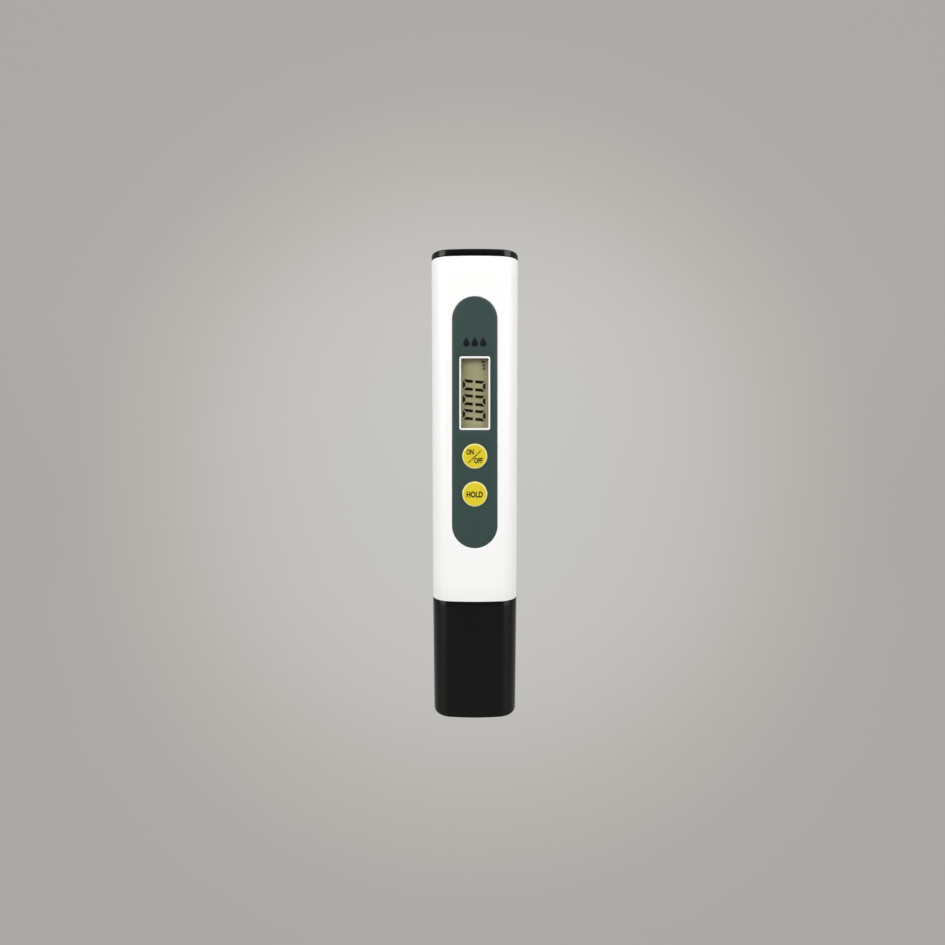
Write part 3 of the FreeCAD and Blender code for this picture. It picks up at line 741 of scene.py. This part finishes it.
def key_profile():
    """From the middle of the front over the bevel and the flange to the end of the stem."""
    flat = key_radius - key_bevel
    front = [(radius, key_face_y(radius)) for radius in np.linspace(0, flat, 10)]
    turn = np.radians(np.linspace(15, 90, 7))
    bevel = [(flat + key_bevel * math.sin(t), key_face_y(flat) + key_bevel * (1 - math.cos(t))) for t in turn]
    flange = [
        (key_radius, flange_front_y),
        (flange_radius - flange_edge, flange_front_y),
        (flange_radius, flange_front_y + flange_edge),
        (flange_radius, flange_back_y - flange_edge),
        (flange_radius - flange_edge, flange_back_y),
    ]
    stem = [(key_stem_radius, flange_back_y), (key_stem_radius, key_stem_end_y), (0, key_stem_end_y)]
    return front + bevel + flange + stem


def from_line(material, x, z):
    """Distance in millimetres from the line along Y through (x, z), and from its mirror image in x."""
    tree = material.node_tree
    place = add_node(tree, "ShaderNodeTexCoord").outputs["Object"]
    right = add_node(tree, "ShaderNodeVectorMath", None, {0: place}, operation="ABSOLUTE").outputs[0]
    flat = {1: (1000, 0, 1000), 2: (-x, 0, -z)}
    offset = add_node(tree, "ShaderNodeVectorMath", flat, {0: right}, operation="MULTIPLY_ADD").outputs[0]
    return add_node(tree, "ShaderNodeVectorMath", None, {0: offset}, operation="LENGTH").outputs["Value"]


def printed_word(word, centre_z, left, right, low, high):
    """Word as a thin print: the built-in font's outlines as a closed mesh, stretched to its box on the key.

    The letters' own x and y become x and z in the box, and their front and back follow the key's face.
    """
    curve = bpy.data.curves.new(word, "FONT")
    curve.body = word
    curve.extrude = 0.01
    curve.offset = 0.045
    curve.resolution_u = 5
    holder = bpy.data.objects.new(word, curve)
    mesh = bpy.data.meshes.new_from_object(holder)
    points = np.empty(len(mesh.vertices) * 3, np.float32)
    mesh.vertices.foreach_get("co", points)
    points = points.reshape(-1, 3).astype(float)
    share = (points - points.min(axis=0)) / np.ptp(points, axis=0)
    x = left + (right - left) * share[:, 0]
    z = low + (high - low) * share[:, 1]
    y = key_face_y(np.hypot(x, z)) + print_height * (1 - 2 * share[:, 2])
    mesh.vertices.foreach_set("co", (np.stack([x, y, z + centre_z], axis=-1) * 0.001).ravel())
    bpy.data.objects.remove(holder)
    bpy.data.curves.remove(curve)
    shell = bmesh.new()
    shell.from_mesh(mesh)
    bmesh.ops.remove_doubles(shell, verts=shell.verts, dist=1e-7)
    bmesh.ops.recalc_face_normals(shell, faces=shell.faces)
    shell.to_mesh(mesh)
    shell.free()
    mesh.materials.clear()
    mesh.materials.append(legend_ink)
    printed = bpy.data.objects.new("legend_" + word.lower(), mesh)
    bpy.context.scene.collection.objects.link(printed)
    return printed


def on_power_key(height):
    """Gives the function that puts points at a height in front of the power key's face."""
    def points(x, z):
        return flat_points(x, z, key_face_y(np.hypot(x, z - key_z["power"])) - height)
    return points


# Pad-printing ink in olive brown, dull over the key's satin.
legend_ink = surface("olive_pad_ink", "2c2500", "262000", 0.5, 0.2, 0.001)
for name, z in key_z.items():
    # Yellow ABS with a fine satin texture. Its bevel is painted paler and is glossier, all round.
    yellow_abs = surface("satin_yellow_abs_" + name, "e4d02c", "dac526", 0.33, 0.3, 0.002)
    bevel_ends = {1: key_radius - 0.57, 2: key_radius - 0.27}
    reach = {0: from_line(yellow_abs, 0, z)}
    edge = add_node(yellow_abs.node_tree, "ShaderNodeMapRange", bevel_ends, reach)
    layer(yellow_abs, edge.outputs[0], "e6e5a0", 0.22)
    key = piece(name + "_key", [turned(key_profile(), 0, z)], yellow_abs)
    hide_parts(name + "_button")
    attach(key, name + "_button")
    for word, left, right, low, high in words[name]:
        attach(printed_word(word, z, left, right, low, high), name + "_button")
(from_x, from_z), (to_x, to_z), width = stroke_line
run = np.array([to_x - from_x, to_z - from_z]) / math.hypot(to_x - from_x, to_z - from_z)
across = np.array([-run[1], run[0]]) * width / 2
ends = np.array([(from_x, from_z), (to_x, to_z)])
path = ends[0] + (ends[1] - ends[0]) * np.linspace(0, 1, 9)[:, None]
outline = np.concatenate([path - across, path[::-1] + across, path[:1] - across])
faces = (on_power_key(print_height), on_power_key(-print_height))
stroke_grid = inlay(outline[:, 0], key_z["power"] + outline[:, 1], *faces)
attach(piece("legend_stroke", [stroke_grid], legend_ink), "power_button")

# Circuit board: green glass-fibre laminate with its parts soldered on both faces. The controller sits under
# a mound of black epoxy on its back. It slides in along the ribs from the top of the tube.
def inside(material, low, high):
    """Mask that is 1 where the sizes of x, y and z lie between those of two corners, in millimetres.

    Along each axis it compares the distance from the middle of the two with half of their difference.
    """
    tree = material.node_tree
    low, high = np.array(low) * 0.001, np.array(high) * 0.001
    place = add_node(tree, "ShaderNodeTexCoord").outputs["Object"]
    sizes = add_node(tree, "ShaderNodeVectorMath", None, {0: place}, operation="ABSOLUTE").outputs[0]
    parts = add_node(tree, "ShaderNodeSeparateXYZ", None, {0: sizes}).outputs
    hits = []
    for part, centre, half in zip(parts, (low + high) / 2, (high - low) / 2):
        limits = {1: centre, 2: half}
        hits.append(add_node(tree, "ShaderNodeMath", limits, {0: part}, operation="COMPARE").outputs[0])
    flat = add_node(tree, "ShaderNodeMath", None, {0: hits[0], 1: hits[1]}, operation="MULTIPLY").outputs[0]
    return add_node(tree, "ShaderNodeMath", None, {0: flat, 1: hits[2]}, operation="MULTIPLY").outputs[0]


board_laminate = surface("green_masked_laminate", "1d5a33", "195130", 0.3, 0.35, 0.003)
# Copper runs 0.5 mm wide under the mask, every 1.6 mm, broken up by the cells of a coarse pattern: some
# cells have runs along the board and some across it.
tree = board_laminate.node_tree
place = add_node(tree, "ShaderNodeTexCoord").outputs["Object"]
cells = add_node(tree, "ShaderNodeTexVoronoi", {"Scale": 1000 / 7.0}, {"Vector": place}).outputs["Color"]
chance = add_node(tree, "ShaderNodeSeparateColor", None, {0: cells}).outputs[0]
for axis, low, high in (("X", 0.45, 1.0), ("Z", 0.0, 0.3)):
    limits = {1: (low + high) / 2, 2: (high - low) / 2}
    chosen = add_node(tree, "ShaderNodeMath", limits, {0: chance}, operation="COMPARE").outputs[0]
    both = {0: chosen, 1: bars(board_laminate, axis, 1.6, 0.5)}
    runs = add_node(tree, "ShaderNodeMath", None, both, operation="MULTIPLY").outputs[0]
    layer(board_laminate, runs, "2f7a45", 0.22)
# Bare tinned pads under the contacts at the top and round the electrodes' tails at the foot.
contact_pads, tail_pads = ((3.75, 0, 125.2), (8.55, 9, pen_length)), ((1.2, 0, 0), (5.2, 9, 51.2))
for low, high in (contact_pads, tail_pads):
    layer(board_laminate, inside(board_laminate, low, high), "c9c8c2", 0.3, 1.0)
dress(board_laminate, "circuit_board")
# Black epoxy that flowed before it set: smooth, with slow waves.
dress(surface("poured_black_epoxy", "121212", "1a1a1a", 0.28, 2.5, 0.02), "chip_blob")
# Chip parts: fired ceramic with tinned ends. The resistors stand upright round one height. The capacitors
# lie across, the two below z = 60 at 7 each way from the middle and the third at 8. The bare values are
# how far the ceramic shows on each side of a part's middle.
resistor_ceramic = surface("glazed_chip_ceramic", "1b1b1d", "262628", 0.45, 0.3, 0.004)
resistor_z, resistor_bare, capacitor_bare = 62.0, 0.65, 1.15
for low_z, high_z in ((0, resistor_z - resistor_bare), (resistor_z + resistor_bare, pen_length)):
    layer(resistor_ceramic, inside(resistor_ceramic, (0, 0, low_z), (20, 9, high_z)), "cfcdc6", 0.28, 1.0)
dress(resistor_ceramic, "resistors")
capacitor_ceramic = surface("fired_tan_ceramic", "9b7f5f", "8f7455", 0.55, 0.3, 0.004)
for centre_x, low_z, high_z in ((7.0, 0, 60), (8.0, 60, pen_length)):
    for low_x, high_x in ((0, centre_x - capacitor_bare), (centre_x + capacitor_bare, 20)):
        end = inside(capacitor_ceramic, (low_x, 0, low_z), (high_x, 9, high_z))
        layer(capacitor_ceramic, end, "cfcdc6", 0.28, 1.0)
dress(capacitor_ceramic, "capacitors")
# Solder that froze shiny with a slight ripple.
dress(surface("frozen_tin_solder", "cbcac6", "bdbcb8", 0.22, 0.8, 0.02, metal), "solder_joints")

# Switches and trimmer: two tactile switches with a steel cover plate over a black case and a black plunger,
# and a blue preset whose brass rotor faces the hole in the housing's back.
switch_case = surface("switch_case_and_plate", "17181a", "1d1e20", 0.5, 0.4, 0.004)
layer(switch_case, inside(switch_case, (0, 2.95, 0), (20, 9, pen_length)), "c4c3bd", 0.3, 1.0)
dress(switch_case, "power_switch", "hold_switch")
# Glass-filled nylon, matt black.
plunger_nylon = surface("matt_black_nylon", "1c1c1c", "232323", 0.55, 0.5, 0.004)
dress(plunger_nylon, "power_switch_plunger", "hold_switch_plunger")
# Thermoset plastic in trimmer blue, satin.
dress(surface("satin_blue_thermoset", "2a52a8", "254a9b", 0.4, 0.5, 0.004), "trimmer_body")
# Turned brass: warm and bright, with a fine tooth.
brass = surface("turned_brass", "c9a662", "bd9a56", 0.25, 0.15, 0.003, metal)
dress(brass, "trimmer_rotor")

# Batteries: two button cells side by side, each a pressed steel can with a rounded shoulder, a plastic ring
# and the smaller negative cap. Nickel-plated spring strips carry their current to the board and join them.
cell_radius, cell_half, cell_x, cell_z = 5.8, 2.7, 6.15, 137.6
cap_radius, ring_width = 4.6, 0.22
shoulder_round, crimp_round, crimp_y = 0.45, 0.7, 2.5


def cell_profile():
    """From the middle of the can's flat face over shoulder and crimp to the middle of the negative cap."""
    shoulder = [(cell_radius - out, down - cell_half) for out, down in rounding(shoulder_round, 5)]
    crimp = [(cell_radius - down, crimp_y - out) for out, down in rounding(crimp_round, 5)]
    ring = [(cap_radius + ring_width, crimp_y), (cap_radius + ring_width, 2.36), (cap_radius, 2.36)]
    cap = [(cap_radius, 2.45), (4.54, 2.6), (4.4, 2.68), (4.2, cell_half), (0, cell_half)]
    return [(0, -cell_half)] + shoulder + crimp + ring + cap


# Stainless steel sheet, deep drawn: satin, with a fine tooth.
drawn_steel = surface("drawn_stainless_steel", "c2c1bd", "b6b5b1", 0.3, 0.2, 0.002, metal)
tree = drawn_steel.node_tree
limits = {1: cap_radius + ring_width / 2, 2: ring_width / 2}
reach = {0: from_line(drawn_steel, cell_x, cell_z)}
on_ring = add_node(tree, "ShaderNodeMath", limits, reach, operation="COMPARE").outputs[0]
sunk = inside(drawn_steel, (0, 2.32, 0), (20, 2.48, pen_length))
seal = add_node(tree, "ShaderNodeMath", None, {0: on_ring, 1: sunk}, operation="MULTIPLY").outputs[0]
# The ring between can and cap is dark green plastic.
layer(drawn_steel, seal, "2b4a33", 0.6, 0.0)
for name, sign, flip in (("left", -1, 1), ("right", 1, -1)):
    grid = turned(cell_profile(), sign * cell_x, cell_z) * (1, flip, 1)
    cell = piece("button_cell_" + name, [grid], drawn_steel)
    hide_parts("cell_" + name)
    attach(cell, "meter_body")
# Nickel-plated spring steel: bright, with the rolling marks running up the pen.
spring = surface("nickel_plated_spring", "d0cdc4", "c4c1b8", 0.2, 0.15, 0.002, metal, stretch=(1, 1, 0.08))
dress(spring, "contact_positive", "contact_negative", "contact_bridge")

# Probe: a plug in the spigot with two guard walls, two titanium pins between them, a temperature bead in
# its pocket and a gasket under its flange. The pins' tails are soldered into the board's slots.
pin_radius, pin_x, pin_tip_z, pin_tail_z = 0.8, 3.2, 13.0, 50.4
probe_plastic = surface("satin_white_acetal", "eeeeea", "e6e6e1", 0.32, 0.8, 0.003)
dress(probe_plastic, "electrode_block")
# Titanium pins, ground and polished: a cool grey with fine marks round them.
titanium = surface("polished_titanium", "b9b6b1", "aeaba6", 0.2, 0.12, 0.002, metal, stretch=(0.1, 0.1, 1))
tip = [(pin_radius - out, pin_tip_z + down) for out, down in rounding(pin_radius, 6)]
pin_profile = tip + [(pin_radius, pin_tail_z - 0.1), (pin_radius - 0.1, pin_tail_z), (0, pin_tail_z)]
for name, sign in (("left", -1), ("right", 1)):
    grid = turned(pin_profile, sign * pin_x, 0, turns=48)[..., [0, 2, 1]]
    pin = piece("probe_pin_" + name, [grid], titanium)
    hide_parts("electrode_" + name)
    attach(pin, "meter_body")
# Epoxy-dipped bead and its ribbon: brown, with the dip's soft waves.
dress(surface("dipped_brown_epoxy", "4a2f22", "3f281d", 0.3, 1.2, 0.01), "thermistor")
# Black nitrile sheet, cut: dull, with a dusty tooth.
dress(surface("cut_nitrile_sheet", "222223", "2c2c2d", 0.8, 0.2, 0.01), "probe_seal")

# Probe cap: a closed black cover pushed over the spigot, glossy ABS with a softly rounded foot and draft
# all round. Its bore is straight and smooth.
cap_wall, cap_floor_z = 1.35, 1.6
soft_front, soft_side, flat_depth = 0.4, 0.9, 1.3


def rounded_end(ring_z, lower, up, steps=8):
    """Rows of half ovals round an end edge: tight in front and behind, softer towards the two sides.

    The rounding's radius grows with the fourth power of x over the half width. Each row is the outline at the
    end moved inwards and along the axis by a quarter circle of that radius.
    """
    ring = oval_half([ring_z], 0, lower=lower)[0]
    inward = oval_half([ring_z], 1, lower=lower)[0] - ring
    radius = soft_front + (soft_side - soft_front) * (ring[:, 0] / ring[:, 0].max()) ** 4
    turn = np.radians(np.linspace(0, 90, steps + 1))[:, None]
    rows = ring + inward * (radius * (1 - np.sin(turn)))[..., None]
    rows[..., 2] = ring_z + up * radius * (1 - np.cos(turn))
    return rows


def cap_grids():
    """Right half of the cap: rounded foot, outside up to the rim, softened rim, bore down to the floor."""
    foot = rounded_end(0.0, True, 1)
    flat = oval_half([0.0], flat_depth, lower=True)
    side_z = np.concatenate([np.linspace(3, 36, 12), [cap_rim_z - 0.15, cap_rim_z - 0.04, cap_rim_z]])
    side = oval_half(side_z, [0] * (len(side_z) - 2) + [0.04, 0.15], lower=True)
    bore_z = [cap_rim_z, cap_rim_z - 0.15, 20.0, cap_floor_z + 0.6, cap_floor_z + 0.17, cap_floor_z]
    bore_in = [cap_wall - 0.15, cap_wall, cap_wall, cap_wall, cap_wall + 0.17, cap_wall + 0.6]
    bore = oval_half(bore_z, bore_in, cap_floor_z, lower=True)
    return [np.concatenate([flat, foot, side, bore])]


# Black ABS from a mould polished round and round: deep black, with soft reflections that the fine marks
# draw out up and down.
black_abs = surface("polished_black_abs", "020202", "030303", 0.26, 1.2, 0.0012,
                    {"Specular IOR Level": 0.3, "Anisotropic": 0.85, "Anisotropic Rotation": 0.25})
tree = black_abs.node_tree
around = add_node(tree, "ShaderNodeTangent", direction_type="RADIAL", axis="Z").outputs[0]
tree.links.new(around, tree.nodes["Principled BSDF"].inputs["Tangent"])
cap = piece("probe_cap_shell", both_sides(cap_grids()), black_abs)
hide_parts("probe_cap")
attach(cap, "probe_cap")

# Battery cover: a black lid that closes the top, flat with a rounded edge, over a skirt that pushes into
# the housing. The cells sit under it.
cover_low_z, skirt_end_z, skirt_gap = 151.77, 144.2, 0.12
cover_pocket, cover_plate = (10.4, 3.2, 0.5), 1.5


def in_pocket(ring):
    """Each point of a half oval moved in to the outline of the rectangular pocket."""
    half_x, half_y, corner = cover_pocket
    core_x = np.minimum(ring[:, 0], half_x - corner)
    core_y = np.clip(ring[:, 1], corner - half_y, half_y - corner)
    reach = corner / np.hypot(ring[:, 0] - core_x, ring[:, 1] - core_y)
    return core_x + (ring[:, 0] - core_x) * reach, core_y + (ring[:, 1] - core_y) * reach


def cover_grids():
    """Right half of the cover: flat top, rounded edge, rim, skirt, and the pocket up under the top."""
    flat = oval_half([pen_length], flat_depth)
    edge = rounded_end(pen_length, False, -1)
    rim = oval_half([152.3, cover_low_z + 0.1, cover_low_z + 0.03, cover_low_z], [0, 0, 0.03, 0.1])
    inner = bore_wall + skirt_gap
    skirt_z = [cover_low_z, skirt_end_z + 0.4, skirt_end_z + 0.12, skirt_end_z]
    skirt = oval_half(skirt_z, [inner, inner, inner + 0.12, inner + 0.4], bore_size_z, edge=bore_edge)
    x, y = in_pocket(skirt[-1])
    pocket_z = (skirt_end_z, pen_length - cover_plate)
    pocket = [np.stack(np.broadcast_arrays(x, y, z), axis=-1) for z in pocket_z]
    return [np.concatenate([flat, edge, rim, skirt, pocket])]


cover = piece("battery_cover_shell", both_sides(cover_grids()), black_abs)
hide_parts("battery_cover")
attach(cover, "battery_cover")
